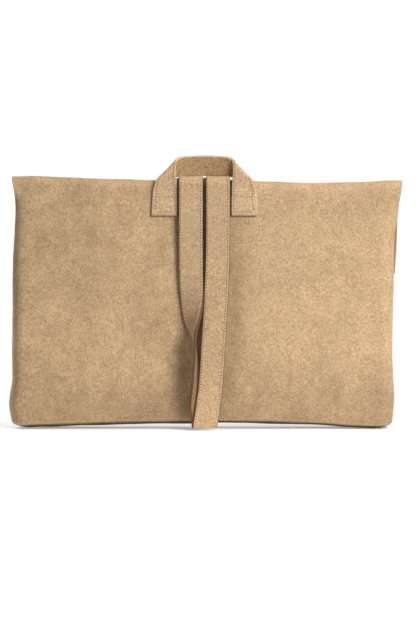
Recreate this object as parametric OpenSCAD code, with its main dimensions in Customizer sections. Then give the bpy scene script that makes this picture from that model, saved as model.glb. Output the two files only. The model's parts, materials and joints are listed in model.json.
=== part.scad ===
// Suede fold-over wristlet: a soft pouch whose top folds over to a rear flap, with a wrist loop
// threaded through a short keeper handle. It stands on its base: +Z up, +X along its width, and
// -Y towards the face that carries the keeper. The origin is the middle of the base. Millimetres.

/* [Pouch] */
// Width of the pouch across its side seams
pouch_w = 315; // [300:1:330]
// Height of the top fold above the base
top_z = 202.5; // [198:0.5:210]
// Depth of the pouch, front to rear, just under the top fold
mouth_d = 10; // [10:0.5:12]
// Angle at which the front and rear lean outwards on the way down
lean = 3.7; // [3.4:0.1:4]
// Height of the rear panel's free edge, which is the lower lip of the mouth
mouth_z = 178; // [172:1:182]

/* [Flap] */
// Width of the flap, a little more than the pouch
flap_w = 319; // [304:1:334]
// Height of the flap's free edge when it is shut
flap_end_z = 126; // [118:1:130]
// Height of the magnetic snap's centre
snap_z = 139; // [136:1:144]

/* [Straps] */
// Width of the wrist loop's strap
strap_w = 19.6; // [19:0.1:19.8]
// Distance from the middle to the centre of each strap run
strap_x = 11.1; // [11:0.1:11.3]
// Thickness of a strap, which is two layers of suede
strap_t = 2.4; // [2:0.1:2.6]
// Width of each foot of the keeper handle
keeper_w = 20.4; // [19:0.1:21]
// Distance from the middle to the inner edge of each keeper foot
keeper_x = 22.2; // [22:0.1:23]

/* [Materials] */
// Thickness of the suede of the panels and the flap
suede_t = 1.4; // [1.2:0.1:1.5]
// Thickness of the lining cloth
lining_t = 0.5; // [0.4:0.1:0.6]

/* [Zip pocket] */
// Length of the row of zip teeth
zip_l = 132; // [120:2.4:144]
// Height of the zip on the front lining
zip_z = 150; // [146:1:152]

/* [Hidden] */

suede_colour = [0.82, 0.68, 0.53];
strap_back_colour = [0.74, 0.6, 0.45];
lining_colour = [0.16, 0.13, 0.11];
thread_colour = [0.72, 0.6, 0.46];
nickel_colour = [0.75, 0.74, 0.72];

eps = 0.02;
arc_steps = 10;

// Layers inwards from the outer face of a panel
front_gap = 1.6;                              // room behind the front lining for the zip pocket
rear_gap = 0.7;                               // room behind the rear lining for the snap's washer
snap_gap = 2.6;                               // space between rear panel and flap, which the snap fills
flap_t = suede_t + lining_t;
flap_stack = snap_gap + flap_t;

// The top fold is a half tube. Its centre line is also the axis that the flap turns about.
fold_r = mouth_d / 2 * cos(lean) + flap_stack / 2;
fold_y = flap_stack / 2 / cos(lean);
fold_z = top_z - fold_r;

base_r = 9;                                   // rounding where a panel turns under the base
side_round = 10;                              // how far in from a side seam the panels start to curve

// Half of the pouch's depth at height z
function half_depth(z) = mouth_d / 2 + tan(lean) * (fold_z - z);
base_half = half_depth(base_r);

// The pouch's profile in Y and Z, every face drawn in by inset, up to height z_top
function half_profile(inset, z_top) = concat(
    [[0, inset]],
    [for (i = [0:arc_steps]) let (angle = -90 + i * (90 + lean) / arc_steps)
        [base_half - base_r / cos(lean) + (base_r - inset) * cos(angle),
         base_r + (base_r - inset) * sin(angle)]],
    [[half_depth(z_top) - inset / cos(lean), z_top], [0, z_top]]);

// One half of the pouch's plan in X and Y, with sides that curve in to the seams
function half_plan(inset) =
    let (x0 = pouch_w / 2 - side_round, rx = side_round - inset, ry = base_half + 1 - inset)
    concat([for (i = [0:2 * arc_steps]) let (angle = i * 180 / (2 * arc_steps))
        [(i <= arc_steps ? x0 : -x0) + rx * cos(angle), ry * sin(angle)]]);

module along_x(width) rotate([90, 0, 90]) linear_extrude(height = width, center = true) children();

// The space inside the rear half of the pouch, drawn in by inset
module half_block(inset, z_top) intersection() {
    along_x(pouch_w) polygon(half_profile(inset, z_top));
    linear_extrude(height = z_top) polygon(half_plan(inset));
}

// One half of the pouch as a shell between two insets
module half_shell(outer, inner, z_top) difference() {
    half_block(outer, z_top);
    translate([0, -1, 0]) half_block(inner, z_top + 1);
    half_block(inner, z_top + 1);
}

module front_side() mirror([0, 1, 0]) children();

// A flat frame on the rear panel's outer face at height z: X across, Y up the panel, Z outwards
module on_rear(z) translate([0, half_depth(z), z]) rotate([90 + lean, 0, 0]) mirror([0, 0, 1]) children();
module on_front(z) front_side() on_rear(z) children();

module slab(x, y, z) translate([x[0], y[0], z[0]]) cube([x[1] - x[0], y[1] - y[0], z[1] - z[0]]);

// ---- The pouch ----

module front_panel() color(suede_colour) front_side() half_shell(0, suede_t, fold_z);

module rear_panel() color(suede_colour) difference() {
    half_shell(0, suede_t, mouth_z);
    on_rear(snap_z) cylinder(r = snap_neck_r + 0.1, h = 4 * suede_t, center = true, $fn = 48);
}

front_lining_inset = suede_t + front_gap;
rear_lining_inset = suede_t + rear_gap;

module front_lining() color(lining_colour) difference() {
    front_side() half_shell(front_lining_inset, front_lining_inset + lining_t, fold_z - 2);
    on_front(zip_z) slab(zip_window_x, zip_window_y, [-8, 2]);
}

module rear_lining() color(lining_colour)
    half_shell(rear_lining_inset, rear_lining_inset + lining_t, mouth_z - 1);

// ---- The top fold and the flap ----

module half_tube(r_in, r_out, width) translate([0, fold_y, fold_z]) along_x(width) intersection() {
    difference() {
        circle(r = r_out, $fn = 96);
        circle(r = r_in, $fn = 96);
    }
    translate([-2 * r_out, 0]) square([4 * r_out, 2 * r_out]);
}

module top_fold() color(suede_colour) half_tube(fold_r - suede_t, fold_r, flap_w);
module top_fold_lining() color(lining_colour)
    half_tube(fold_r - flap_t, fold_r - suede_t - eps, flap_w - 4);

flap_corner_r = 5;
flap_l = (fold_z - flap_end_z) / cos(lean);

flap_drop = 0.4;                              // the flap starts this far below the fold's edge

// The flap's outline, with its hinge edge along X and its free edge at the bottom
module flap_outline(width, length) {
    translate([-width / 2, flap_corner_r - length])
        square([width, length - flap_corner_r - flap_drop]);
    translate([-width / 2 + flap_corner_r, -length])
        square([width - 2 * flap_corner_r, length - flap_drop]);
    for (side = [-1, 1]) translate([side * (width / 2 - flap_corner_r), flap_corner_r - length])
        circle(r = flap_corner_r, $fn = 48);
}

snap_disc_r = 7;
snap_pin_r = 1.9;
snap_bore_r = 2.1;
snap_neck_r = 2.7;
snap_washer_r = 8;
snap_washer_t = 0.45;
socket_t = 1.3;
snap_drop = (fold_z - snap_z) / cos(lean);    // from the hinge axis down to the snap, along the flap

module flap_shell() color(suede_colour) on_rear(fold_z) difference() {
    translate([0, 0, snap_gap + lining_t]) linear_extrude(height = suede_t) flap_outline(flap_w, flap_l);
    translate([0, -snap_drop, 0]) cylinder(r = snap_washer_r + 0.2, h = snap_gap + lining_t + 0.5, $fn = 64);
}

module flap_lining() color(lining_colour) on_rear(fold_z) difference() {
    translate([0, 0, snap_gap]) linear_extrude(height = lining_t - eps) flap_outline(flap_w - 4, flap_l - 2);
    translate([0, -snap_drop, 0]) cylinder(r = snap_neck_r + 0.1, h = 2 * flap_stack, $fn = 48);
}

// ---- The magnetic snap ----

// A ring whose lower face is at height z
module ring(r_out, r_in, z, h) translate([0, 0, z]) difference() {
    cylinder(r = r_out, h = h, $fn = 64);
    translate([0, 0, -1]) cylinder(r = r_in, h = h + 2, $fn = 64);
}

module snap_socket() color(nickel_colour) on_rear(snap_z) difference() {
    union() {
        cylinder(r = snap_disc_r, h = socket_t, $fn = 64);
        translate([0, 0, -suede_t - snap_washer_t])
            cylinder(r = snap_neck_r, h = suede_t + snap_washer_t + 0.1, $fn = 48);
    }
    translate([0, 0, -5]) cylinder(r = snap_bore_r, h = 10, $fn = 48);
}

module snap_socket_washer() color(nickel_colour) on_rear(snap_z)
    ring(snap_washer_r, snap_neck_r + eps, -suede_t - eps - snap_washer_t, snap_washer_t);

module snap_stud() color(nickel_colour) on_rear(snap_z) {
    translate([0, 0, socket_t + 0.1])
        cylinder(r = snap_disc_r - 0.5, h = snap_gap - socket_t - 0.1 - eps, $fn = 64);
    translate([0, 0, -0.6]) cylinder(r = snap_pin_r, h = 2.2, $fn = 48);
    translate([0, 0, snap_gap - 0.1]) cylinder(r = snap_neck_r, h = lining_t + 0.1 + snap_washer_t, $fn = 48);
}

module snap_stud_washer() color(nickel_colour) on_rear(snap_z)
    ring(snap_washer_r, snap_neck_r + eps, snap_gap + lining_t + eps, snap_washer_t - eps);

// ---- Stitching ----

stitch_pitch = 2.8;
stitch_size = [2, 0.6, 0.3];

// A straight row of stitches from point a to point b on a flat frame, lying on the face at height z
module stitch_row(a, b, z) {
    run = norm(b - a);
    count = floor(run / stitch_pitch);
    for (i = [0.5:1:count]) let (p = a + (b - a) * i / count)
        translate([p[0], p[1], z + stitch_size[2] / 2 + eps / 2])
            rotate([0, 0, atan2(b[1] - a[1], b[0] - a[0])]) cube(stitch_size, center = true);
}

// ---- The keeper handle ----

keeper_foot_z = [174.8, 190.8];               // lower and upper end of a foot's sewn part
keeper_gap = 0.8;                             // the free arch starts this far above the foot
foot_slant = 2.4;                             // how far a foot's outer edge leans out at its lower end
foot_h = keeper_foot_z[1] - keeper_foot_z[0];

module keeper_foot() on_front(keeper_foot_z[0]) linear_extrude(height = strap_t)
    polygon([[keeper_x, 0], [keeper_x + keeper_w + foot_slant / 2, 0],
             [keeper_x + keeper_w, foot_h], [keeper_x - 0.2, foot_h]]);

module keeper_foot_right() color(suede_colour) keeper_foot();
module keeper_foot_left() color(suede_colour) mirror([1, 0, 0]) keeper_foot();

module keeper_foot_thread() color(thread_colour) for (side = [0, 1]) mirror([side, 0, 0])
    on_front(keeper_foot_z[0]) {
        x_in = keeper_x + 2;
        x_out = keeper_x + keeper_w - 2;
        for (y = [2.4, foot_h - 2]) stitch_row([x_in, y], [x_out, y], strap_t);
        for (x = [x_in, x_out]) stitch_row([x, 4], [x, foot_h - 3.4], strap_t);
    }

// Catmull-Rom curve through control rows, at parameter u counted in rows
function spline(rows, u) = let (
        last = len(rows) - 1, i = min(floor(u), last - 1), t = u - i,
        p0 = rows[max(i - 1, 0)], p1 = rows[i], p2 = rows[i + 1], p3 = rows[min(i + 2, last)])
    0.5 * (2 * p1 + (p2 - p0) * t + (2 * p0 - 5 * p1 + 4 * p2 - p3) * t * t
           + (3 * p1 - 3 * p2 + p3 - p0) * t * t * t);

function unit(v) = v / norm(v);

// A flat strap as one solid. Each station is [centre, half-width vector, unit normal]. The strap lies
// between the offsets lo and hi along the normal. Its two faces are split along the same diagonals, so
// that the layers of a twisted strap lie evenly on each other.
module ribbon(stations, lo, hi) {
    n = len(stations);
    points = [for (s = stations) each [s[0] - s[1] + lo * s[2], s[0] + s[1] + lo * s[2],
                                       s[0] + s[1] + hi * s[2], s[0] - s[1] + hi * s[2]]];
    walls = [for (i = [0:n - 2], k = [0:3]) let (a = 4 * i + k, b = 4 * i + (k + 1) % 4)
        each (k == 2 ? [[a, b, a + 4], [b, b + 4, a + 4]] : [[a, b, b + 4], [a, b + 4, a + 4]])];
    ends = [[3, 2, 1, 0], [4 * n - 4, 4 * n - 3, 4 * n - 2, 4 * n - 1]];
    polyhedron(points, concat(walls, ends));
}

// The right half of the keeper arch, from its foot to the middle. The leg folds back on itself along a
// slanting crease, and goes on as a band behind. These are its inner edge, which ends on top, and its
// outer edge, which turns under and behind the wrist loop.
arch_z0 = keeper_foot_z[1] + keeper_gap;
arch_y0 = -half_depth(arch_z0) - strap_t / 2 / cos(lean);
arch_top_edge = [[keeper_x - 0.2, arch_y0, arch_z0], [keeper_x - 0.1, arch_y0, 199], [keeper_x, -7.2, 207],
                 [keeper_x, -8.4, 214.5], [21.9, -9.2, 220.4], [20.2, -8.2, 222.2], [17, -6.6, 222.4],
                 [9, -6.2, 222.6], [0, -6.2, 222.8]];
arch_under_edge = [[keeper_x + keeper_w, arch_y0, arch_z0], [42.3, arch_y0, 195.4], [42, -6.6, 198.4],
                   [41.4, -7, 200.8], [40.4, -6.9, 202.6], [38.6, -5, 203.4], [33, -3, 204.6],
                   [18, -0.4, 207], [0, 0.2, 207.6]];
arch_steps = 24;

function arch_half(side) = [for (i = [0:arch_steps]) let (u = i * (len(arch_top_edge) - 1) / arch_steps,
        top = spline(arch_top_edge, u), under = spline(arch_under_edge, u),
        top2 = spline(arch_top_edge, u + 0.01), under2 = spline(arch_under_edge, u + 0.01),
        normal = unit(cross(under - top, top2 + under2 - top - under)))
    [[side * (top[0] + under[0]) / 2, (top[1] + under[1]) / 2, (top[2] + under[2]) / 2],
     [side * (top[0] - under[0]) / 2, (top[1] - under[1]) / 2, (top[2] - under[2]) / 2],
     [side * normal[0], normal[1], normal[2]]]];

// Both halves in one run, from the right foot over to the left foot
arch_stations = concat(arch_half(1), [for (i = [arch_steps - 1:-1:0]) arch_half(-1)[i]]);

module keeper_arch_outer() color(suede_colour) ribbon(arch_stations, -strap_t / 2, -eps);
module keeper_arch_lining() color(strap_back_colour) ribbon(arch_stations, eps, strap_t / 2);

// ---- The wrist loop ----

bend_r = 2.2;                                 // inside radius of the strap where it turns down in front
bend_y = -6.2;
bend_z = top_z - bend_r;
strap_front_y = bend_y - bend_r - strap_t / 2;

strap_end_y = [-35, -6];                      // the sewn end of the strap on the flap, from the hinge axis

module strap_end() on_rear(fold_z)
    slab([strap_x - strap_w / 2, strap_x + strap_w / 2], strap_end_y, [flap_stack, flap_stack + strap_t]);

module strap_end_right() color(suede_colour) strap_end();
module strap_end_left() color(suede_colour) mirror([1, 0, 0]) strap_end();

module strap_end_thread() color(thread_colour) on_rear(fold_z) for (side = [-1, 1]) {
    z = flap_stack + strap_t;
    x_in = side * (strap_x - strap_w / 2 + 2);
    x_out = side * (strap_x + strap_w / 2 - 2);
    low = strap_end_y[0] + 2;
    high = strap_end_y[0] + 18;
    for (y = [low, high]) stitch_row([x_in, y], [x_out, y], z);
    for (x = [x_in, x_out]) stitch_row([x, low + 1.5], [x, high - 1.5], z);
}

// Points on an arc about a centre in Y and Z, from angle a0 to angle a1
function arc(centre, r, a0, a1) = [for (i = [0:arc_steps]) let (a = a0 + i * (a1 - a0) / arc_steps)
    centre + r * [cos(a), sin(a)]];

// One face of the strap between its sewn end and the front, at a height above the suede under it: up
// the flap, over the fold, forward, and down
function bridge_face(height) = concat(
    [[fold_y + (fold_r + height) / cos(lean) - strap_end_y[1] * sin(lean),
      fold_z + strap_end_y[1] * cos(lean)]],
    arc([fold_y, fold_z], fold_r + height, 0, 90),
    arc([bend_y, bend_z], bend_r + height, 90, 180));

module strap_bridge() translate([strap_x, 0, 0]) along_x(strap_w) polygon(concat(
    bridge_face(eps), [for (face = [bridge_face(strap_t)], i = [len(face) - 1:-1:0]) face[i]]));

module strap_bridge_right() color(suede_colour) strap_bridge();
module strap_bridge_left() color(suede_colour) mirror([1, 0, 0]) strap_bridge();

// The hanging loop: down the right run, round its end, and up the left run, which turns half over on
// the way. Rows hold X, Y, Z and the angle of the strap's width from the X axis.
loop_route = [[strap_x, strap_front_y, bend_z - 0.3, 0], [strap_x, -11.8, 172, 0], [10.8, -15.4, 138, 0],
              [9.4, -20, 105, 0], [7.4, -25.5, 72, 0], [5.2, -29.5, 38, 0], [2.2, -31, 15, 0],
              [0.8, -30.4, 6, 0], [0, -28, 3.4, 0], [-0.8, -25.7, 6, 3], [-1.8, -25, 12, 16],
              [-4.6, -25.2, 23, 42], [-6.4, -26, 38, 68], [-7.2, -25.6, 58, 84], [-8.4, -24, 77, 98],
              [-9.4, -21.4, 90, 128], [-10, -17.6, 105, 154], [-10.8, -14.6, 124, 174],
              [-strap_x, -12.6, 150, 180], [-strap_x, -11.1, 176, 180],
              [-strap_x, strap_front_y, bend_z - 0.3, 180]];
loop_steps = 76;

function loop_station(u) = let (
        row = spline(loop_route, u), ahead = spline(loop_route, min(u + 0.02, len(loop_route) - 1)),
        behind = spline(loop_route, max(u - 0.02, 0)),
        tangent = unit([ahead[0] - behind[0], ahead[1] - behind[1], ahead[2] - behind[2]]),
        across = [cos(row[3]), sin(row[3]), 0],
        wide = unit(across - (across * tangent) * tangent))
    [[row[0], row[1], row[2]], strap_w / 2 * wide, cross(tangent, wide)];

loop_stations = [for (i = [0:loop_steps]) loop_station(i * (len(loop_route) - 1) / loop_steps)];

module wrist_loop_outer() color(suede_colour) ribbon(loop_stations, eps, strap_t / 2);
module wrist_loop_inner() color(strap_back_colour) ribbon(loop_stations, -strap_t / 2, -eps);

// ---- The zip pocket on the front lining. On its flat frame, depths below the outer face are negative. ----

tape_face = -front_lining_inset - lining_t;   // the lining's inner face, on which the tapes are sewn
tape_t = 0.4;
tape_w = 5.4;
teeth_h = 1.6;
tooth = [1.1, 1.36];
tooth_pitch = 2.4;
slider_size = [9, 8.4];
slider_plate_t = 0.9;
slider_x0 = -zip_l / 2 - 7;                    // the slider's place with the zip shut
zip_window_x = [slider_x0 - 5, zip_l / 2 + 5]; // the opening in the lining behind the zip
zip_window_y = [-2.2, 2.2];
slider_plate_gap = 1.1;                       // from the tapes' middle to each of the slider's plates
slider_corner_r = 5.4;                        // the plates' corners are cut to this circle
slider_neck = [3, 0.56, 2.8];                 // the neck that runs between the two rows of teeth
slider_boss_r = 2;                            // the boss that carries the pull's pin
pull_l = 20;
pull_w = 5;
pull_t = 1;
pull_pin_r = 1;
slider_face = tape_face - tape_t - 1.9;

module zip_tape(side) on_front(zip_z)
    mirror([0, side, 0]) slab([-zip_l / 2 - 15, zip_l / 2 + 9], [1.8, 1.8 + tape_w],
                              [tape_face - tape_t, tape_face - eps]);
module zip_tape_upper() color(lining_colour) zip_tape(0);
module zip_tape_lower() color(lining_colour) zip_tape(1);

// The two rows stand just apart, so that the slider's neck runs between them
module zip_teeth() color(nickel_colour) on_front(zip_z)
    for (i = [0:1:zip_l / tooth_pitch], side = [-1, 1])
        translate([-zip_l / 2 + i * tooth_pitch + side * tooth_pitch / 4, side * (0.4 + tooth[1] / 2),
                   tape_face - tape_t / 2]) cube([tooth[0], tooth[1], teeth_h], center = true);

module zip_stops() color(nickel_colour) on_front(zip_z)
    for (x = [slider_x0 - slider_size[0] / 2 - 1.2, zip_l / 2 + 4], y = [-1, 1])
        translate([x, 1.75 * y, tape_face - tape_t - 0.6]) cube([1.6, 2.6, 1.2 - eps], center = true);

module zip_slider() color(nickel_colour) on_front(zip_z) translate([slider_x0, 0, 0]) {
    for (z = [tape_face - tape_t / 2 + slider_plate_gap,
              tape_face - tape_t / 2 - slider_plate_gap - slider_plate_t])
        translate([0, 0, z]) linear_extrude(height = slider_plate_t) intersection() {
            square(slider_size, center = true);
            circle(r = slider_corner_r, $fn = 48);
        }
    translate([-2, 0, tape_face - tape_t / 2]) cube(slider_neck, center = true);
    translate([0, 0, slider_face - 1.9]) cylinder(r = pull_pin_r, h = 3, $fn = 32);
    translate([0, 0, slider_face - 2.2]) cylinder(r = slider_boss_r, h = 0.6, $fn = 32);
}

module zip_pull() color(nickel_colour) on_front(zip_z) translate([slider_x0, 0, slider_face - 1.4])
    linear_extrude(height = pull_t) difference() {
        union() {
            circle(r = pull_w / 2, $fn = 48);
            translate([-pull_w / 2, -pull_l]) square([pull_w, pull_l]);
            translate([0, -pull_l]) circle(r = pull_w / 2, $fn = 48);
        }
        circle(r = pull_pin_r + 0.06, $fn = 48);
        translate([0, -pull_l]) circle(r = 1.2, $fn = 32);
    }

bag_drop = 74;                                // depth of the pocket below the zip
bag_w = zip_l + 20;

module zip_pocket_bag() color(lining_colour) on_front(zip_z) difference() {
    slab([-bag_w / 2, bag_w / 2], [-bag_drop, -5.2], [-suede_t - 1.3, -suede_t - 0.2]);
    slab([-bag_w / 2 + 1, bag_w / 2 - 1], [1 - bag_drop, 0], [-suede_t - 1, -suede_t - 0.5]);
}

// ---- Card slots on the rear lining: three strips, each standing in front of the one above ----

slot_w = 186;
slot_t = 0.6;
slot_foot_z = 76;
slot_top_z = [142, 130, 118];
slot_face = rear_lining_inset + lining_t;

module card_slot(i) color(strap_back_colour) on_rear(slot_foot_z)
    slab([-slot_w / 2, slot_w / 2], [0, slot_top_z[i] - slot_foot_z],
         [-slot_face - (i + 1) * (slot_t + eps), -slot_face - i * (slot_t + eps) - eps]);
module card_slot_upper() card_slot(0);
module card_slot_middle() card_slot(1);
module card_slot_lower() card_slot(2);

module card_slot_thread() color(thread_colour) on_rear(slot_foot_z)
    for (x = [-slot_w / 2 + 2, 0, slot_w / 2 - 2])
        stitch_row([x, 2], [x, slot_top_z[2] - slot_foot_z - 1],
                   -slot_face - 3 * (slot_t + eps) - stitch_size[2] - 2 * eps);

front_panel();
rear_panel();
front_lining();
rear_lining();
keeper_foot_left();
keeper_foot_right();
keeper_foot_thread();
keeper_arch_outer();
keeper_arch_lining();
top_fold();
top_fold_lining();
strap_bridge_left();
strap_bridge_right();
flap_shell();
flap_lining();
strap_end_left();
strap_end_right();
strap_end_thread();
snap_stud();
snap_stud_washer();
snap_socket();
snap_socket_washer();
wrist_loop_outer();
wrist_loop_inner();
zip_tape_upper();
zip_tape_lower();
zip_teeth();
zip_stops();
zip_slider();
zip_pull();
zip_pocket_bag();
card_slot_upper();
card_slot_middle();
card_slot_lower();
card_slot_thread();
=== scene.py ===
"""A camel suede fold-over wristlet clutch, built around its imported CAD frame."""

import json
import math

import bmesh
import bpy
import numpy as np
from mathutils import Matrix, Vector, noise


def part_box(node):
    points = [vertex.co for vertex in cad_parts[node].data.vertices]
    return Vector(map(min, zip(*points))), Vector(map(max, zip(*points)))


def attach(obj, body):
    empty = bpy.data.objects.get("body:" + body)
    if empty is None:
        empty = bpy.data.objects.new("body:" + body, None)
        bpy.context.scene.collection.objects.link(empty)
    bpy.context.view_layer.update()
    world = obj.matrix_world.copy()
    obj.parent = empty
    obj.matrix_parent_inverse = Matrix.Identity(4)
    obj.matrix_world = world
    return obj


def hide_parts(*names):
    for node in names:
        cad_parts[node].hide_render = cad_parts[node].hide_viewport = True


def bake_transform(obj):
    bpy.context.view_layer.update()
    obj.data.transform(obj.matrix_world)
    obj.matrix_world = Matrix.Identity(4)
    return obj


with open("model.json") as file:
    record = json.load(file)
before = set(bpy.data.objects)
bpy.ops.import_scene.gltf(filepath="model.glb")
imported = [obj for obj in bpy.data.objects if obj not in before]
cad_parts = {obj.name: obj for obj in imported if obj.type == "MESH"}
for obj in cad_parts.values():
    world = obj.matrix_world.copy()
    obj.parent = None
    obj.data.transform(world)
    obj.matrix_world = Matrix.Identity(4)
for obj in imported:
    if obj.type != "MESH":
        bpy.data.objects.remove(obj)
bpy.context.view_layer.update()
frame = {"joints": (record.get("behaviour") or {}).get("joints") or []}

MM = 0.001

# ---- The frame's own sizes, in millimetres ----


def node_box(*names):
    """Lowest and highest corner of these CAD nodes, in millimetres."""
    corners = [[np.array(corner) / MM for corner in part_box(name)] for name in names]
    return np.min([low for low, high in corners], axis=0), np.max([high for low, high in corners], axis=0)


joints = {joint["name"]: joint for joint in frame["joints"]}
fold_axis = np.array(joints["flap_open"]["pos_m"]) / MM
loop_axis = np.array(joints["wrist_loop_swing"]["pos_m"]) / MM

panel_low = node_box("front_panel")[0]
fold_high = node_box("top_fold")[1]
flap_low = node_box("flap_shell")[0]
rear_high = node_box("rear_panel")[1]

SUEDE = 1.4                               # thickness of the panels' suede
LINING = 0.5                              # thickness of the lining cloth
STRAP = 2.4                               # thickness of a strap's two layers
STRAP_WIDTH = 20.0
BASE_ROUND = 9.0                          # radius where the CAD's panel turns under the base
BASE_ROLL = 4.5                           # the same on the visual panel, which is softer
FOLD_RADIUS = fold_high[2] - fold_axis[2]
TOP_HALF_DEPTH = FOLD_RADIUS - fold_axis[1]
LEAN = (-panel_low[1] - TOP_HALF_DEPTH) / (fold_axis[2] - BASE_ROUND)   # slope of the front and the rear
MOUTH = rear_high[2]
FLAP_END = flap_low[2]


# ---- Small numeric helpers ----


def smooth(t):
    """0 to 1 with level ends, for t from 0 to 1."""
    t = np.clip(t, 0, 1)
    return t * t * (3 - 2 * t)


def through(points, x):
    """A smooth curve through given (x, value) points. Values may be vectors."""
    xs = np.array([p[0] for p in points], float)
    ys = np.array([p[1] for p in points], float)
    slopes = np.gradient(ys, xs, axis=0)
    x = np.clip(np.asarray(x, float), xs[0], xs[-1])
    i = np.clip(np.searchsorted(xs, x, side="right") - 1, 0, len(xs) - 2)
    h = xs[i + 1] - xs[i]
    t = (x - xs[i]) / h
    if ys.ndim > 1:
        t, h = t[..., None], h[..., None]
    return (
        (2 * t**3 - 3 * t**2 + 1) * ys[i]
        + (t**3 - 2 * t**2 + t) * h * slopes[i]
        + (3 * t**2 - 2 * t**3) * ys[i + 1]
        + (t**3 - t**2) * h * slopes[i + 1]
    )


def rows_curve(rows, count):
    """count points spaced evenly along the smooth curve through rows of given numbers."""
    rows = np.array(rows, float)
    dense = through(list(enumerate(rows)), np.linspace(0, len(rows) - 1, 40 * len(rows)))
    length = np.concatenate([[0], np.cumsum(np.linalg.norm(np.diff(dense[:, :3], axis=0), axis=1))])
    at = np.linspace(0, length[-1], count)
    return np.stack([np.interp(at, length, dense[:, k]) for k in range(dense.shape[1])], axis=1)


def soft_noise(x, z, size, seed):
    """Smooth noise from about -1 to 1 with features of a size in millimetres."""
    flat = [noise.noise(Vector((a / size, b / size, seed))) for a, b in zip(np.ravel(x), np.ravel(z))]
    return np.array(flat).reshape(np.shape(x)) * 1.6


def unit(v):
    """Vectors scaled to a length of 1."""
    return v / np.maximum(np.linalg.norm(v, axis=-1, keepdims=True), 1e-9)


def grid_normals(grid):
    """Unit normals of a grid of points: along the rows crossed with along the columns."""
    return unit(np.cross(np.gradient(grid, axis=1), np.gradient(grid, axis=0)))


# ---- Mesh building ----


def new_object(name, vertices, faces, materials, face_materials=None):
    """A smooth-shaded mesh object from millimetre vertices."""
    mesh = bpy.data.meshes.new(name)
    mesh.from_pydata((np.asarray(vertices) * MM).tolist(), [], faces)
    for material in materials:
        mesh.materials.append(material)
    mesh.polygons.foreach_set("use_smooth", [True] * len(mesh.polygons))
    if face_materials is not None:
        mesh.polygons.foreach_set("material_index", face_materials)
    shell = bmesh.new()
    shell.from_mesh(mesh)
    bmesh.ops.recalc_face_normals(shell, faces=shell.faces)
    shell.to_mesh(mesh)
    shell.free()
    piece = bpy.data.objects.new(name, mesh)
    bpy.context.scene.collection.objects.link(piece)
    return piece


RIM_ANGLES = np.radians([64, 38, 14, -14, -38, -64])
END_ANGLES = np.radians([28, 52, 74])
RIM_REACH = 0.5                           # how far a cut edge bulges, as a share of half the thickness


def sheet_object(name, grid, thickness, materials, groove=0.0, window=None):
    """A closed sheet with rounded edges, whose outer face is the grid. Its rows run along the sheet and
    its columns across it. The materials are those of the outer face, the inner face and the edge.
    groove is how deep the line between two layers is cut into the edge, as a share of the thickness.
    window is a hole's first and last row and its first and last column."""
    normal = grid_normals(grid)
    half = thickness / 2
    middle = grid - normal * half
    across = [unit(middle[:, 0] - middle[:, 1]), unit(middle[:, -1] - middle[:, -2])]
    along = [unit(middle[0] - middle[1]), unit(middle[-1] - middle[-2])]
    columns = grid.shape[1]

    def loop(row, shift, share):
        """One closed ring of points round the sheet at a row, thinned to a share of its thickness."""
        m, n = middle[row] + shift, normal[row] * half * share
        reach = half * share * RIM_REACH * (1 - groove * np.exp(-((RIM_ANGLES / 0.3) ** 2)))
        rim = list(zip(RIM_ANGLES, reach))
        right = [m[-1] + n[-1] * math.sin(a) + across[1][row] * r * math.cos(a) for a, r in rim]
        left = [m[0] - n[0] * math.sin(a) + across[0][row] * r * math.cos(a) for a, r in rim]
        return np.concatenate([m + n, right, (m - n)[::-1], left])

    bulge = half * RIM_REACH
    loops = [loop(0, along[0] * bulge * math.sin(a), math.cos(a)) for a in END_ANGLES[::-1]]
    loops += [loop(row, 0, 1) for row in range(len(grid))]
    loops += [loop(-1, along[1] * bulge * math.sin(a), math.cos(a)) for a in END_ANGLES]
    rim = len(RIM_ANGLES)
    ring = 2 * (columns + rim)
    kinds = [0] * (columns - 1) + [2] * (rim + 1) + [1] * (columns - 1) + [2] * (rim + 1)
    faces, slots = [], []
    ends = len(END_ANGLES)
    first, last, near, far = window or (0, 0, 0, 0)
    under = 2 * columns + rim - 1

    def in_window(i, k):
        column = k if k < columns else under - k - 1
        return first <= i - ends < last and near <= column < far

    for i in range(len(loops) - 1):
        at_end = i < ends or i >= len(loops) - 1 - ends
        for k in range(ring):
            if window and in_window(i, k):
                continue
            a, b = i * ring + k, i * ring + (k + 1) % ring
            faces.append((a, a + ring, b + ring, b))
            slots.append(2 if at_end else kinds[k])
    if window:
        corners = [(i, near) for i in range(first, last)] + [(last, k) for k in range(near, far)]
        corners += [(i, far) for i in range(last, first, -1)] + [(first, k) for k in range(far, near, -1)]
        for (i, k), (j, m) in zip(corners, corners[1:] + corners[:1]):
            a, b = (i + ends) * ring, (j + ends) * ring
            faces.append((a + k, b + m, b + under - m, a + under - k))
            slots.append(2)
    half_rim = rim // 2
    left = 2 * columns + rim
    pairs = [(left + half_rim + k, left + half_rim - 1 - k) for k in range(half_rim)]
    pairs += [(k, left - 1 - k) for k in range(columns)]
    pairs += [(columns + k, columns + rim - 1 - k) for k in range(half_rim)]
    for base in (0, (len(loops) - 1) * ring):
        for (a, b), (c, d) in zip(pairs, pairs[1:]):
            faces.append((base + a, base + c, base + d, base + b))
            slots.append(2)
    return new_object(name, np.concatenate(loops), faces, materials, slots)


# ---- Materials ----


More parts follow.
